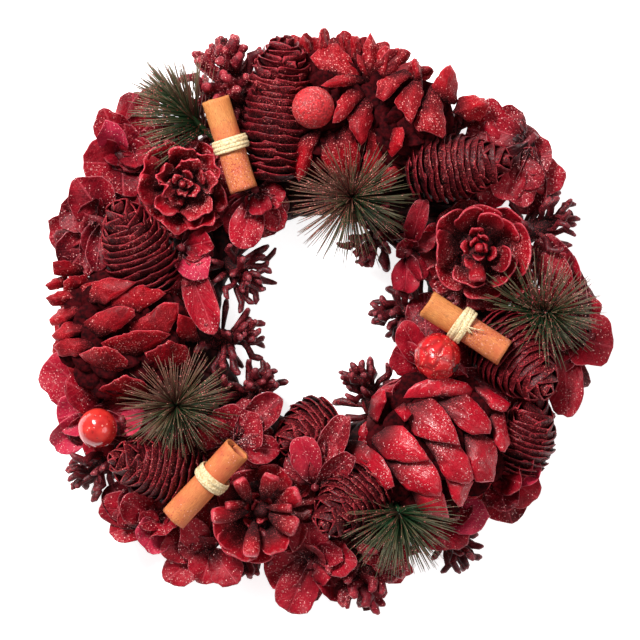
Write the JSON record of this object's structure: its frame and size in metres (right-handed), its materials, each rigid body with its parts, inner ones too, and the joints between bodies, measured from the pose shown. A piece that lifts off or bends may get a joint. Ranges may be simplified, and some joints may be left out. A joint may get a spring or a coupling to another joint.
{
  "type": "cinnamon stick wreath",
  "caption": "Round Christmas wreath of red glittered pine cones, dried petals, berries, pine needles and tied cinnamon quills on a vine ring.",
  "frame": {"origin": "middle of the wreath on the surface that it lies on", "axes": "+X to the right and +Y up in the wreath's face, +Z out of the face, towards the viewer"},
  "size_m": [0.3156, 0.322, 0.0811],
  "materials": {
    "vine": "dark painted bark, matte",
    "cinnamon": "bare bark, matte",
    "raffia": "natural fibre, matte",
    "berry": "gloss red lacquer with glitter",
    "open_cone": "dark red paint with glitter",
    "broad_cone": "red paint with glitter",
    "spruce_cone": "burgundy paint, satin",
    "dark_cone": "dark burgundy paint, matte",
    "petal": "red dyed dried petal, matte",
    "needle": "dark green with red glitter"
  },
  "bodies": {
    "root": {"berry_left": "berry", "berry_right": "berry", "berry_top": "berry", "broad_cone_left": "broad_cone", "broad_cone_lower_right": "broad_cone", "broad_cone_top": "broad_cone", "broad_cone_top_right": "broad_cone", "cinnamon_lower_left": "cinnamon", "cinnamon_right": "cinnamon", "cinnamon_upper_left": "cinnamon", "finger_cone_inner_left": "dark_cone", "finger_cone_inner_left_low": "dark_cone", "finger_cone_inner_lower_left": "dark_cone", "finger_cone_inner_lower_right": "dark_cone", "finger_cone_inner_right": "dark_cone", "finger_cone_inner_top_right": "dark_cone", "finger_cone_rim_bottom": "dark_cone", "finger_cone_rim_bottom_left": "dark_cone", "finger_cone_rim_lower_left": "dark_cone", "finger_cone_rim_lower_right": "dark_cone", "finger_cone_rim_right": "dark_cone", "finger_cone_rim_top_right": "dark_cone", "finger_cone_rim_upper_left": "dark_cone", "petals_bottom": "petal", "petals_bottom_left": "petal", "petals_bottom_right": "petal", "petals_inner_bottom": "petal", "petals_inner_left": "petal", "petals_inner_lower_left": "petal", "petals_inner_right": "petal", "petals_inner_upper_left": "petal", "petals_inner_upper_right": "petal", "petals_left_high": "petal", "petals_left_low": "petal", "petals_lower_left": "petal", "petals_lower_right": "petal", "petals_right": "petal", "petals_right_low": "petal", "petals_upper_left": "petal", "petals_upper_right": "petal", "pine_pick_bottom": "needle", "pine_pick_left": "needle", "pine_pick_right": "needle", "pine_pick_top": "needle", "pine_pick_upper_left": "needle", "raffia_tie_lower_left": "raffia", "raffia_tie_right": "raffia", "raffia_tie_upper_left": "raffia", "rose_cone_bottom": "open_cone", "rose_cone_right": "open_cone", "rose_cone_upper_left": "open_cone", "spruce_cone_bottom": "spruce_cone", "spruce_cone_inner_bottom": "spruce_cone", "spruce_cone_left": "spruce_cone", "spruce_cone_lower_left": "spruce_cone", "spruce_cone_right": "spruce_cone", "spruce_cone_right_low": "spruce_cone", "spruce_cone_top": "spruce_cone", "spruce_cone_upper_right": "spruce_cone", "vine_ring": "vine"}
  },
  "joints": []
}
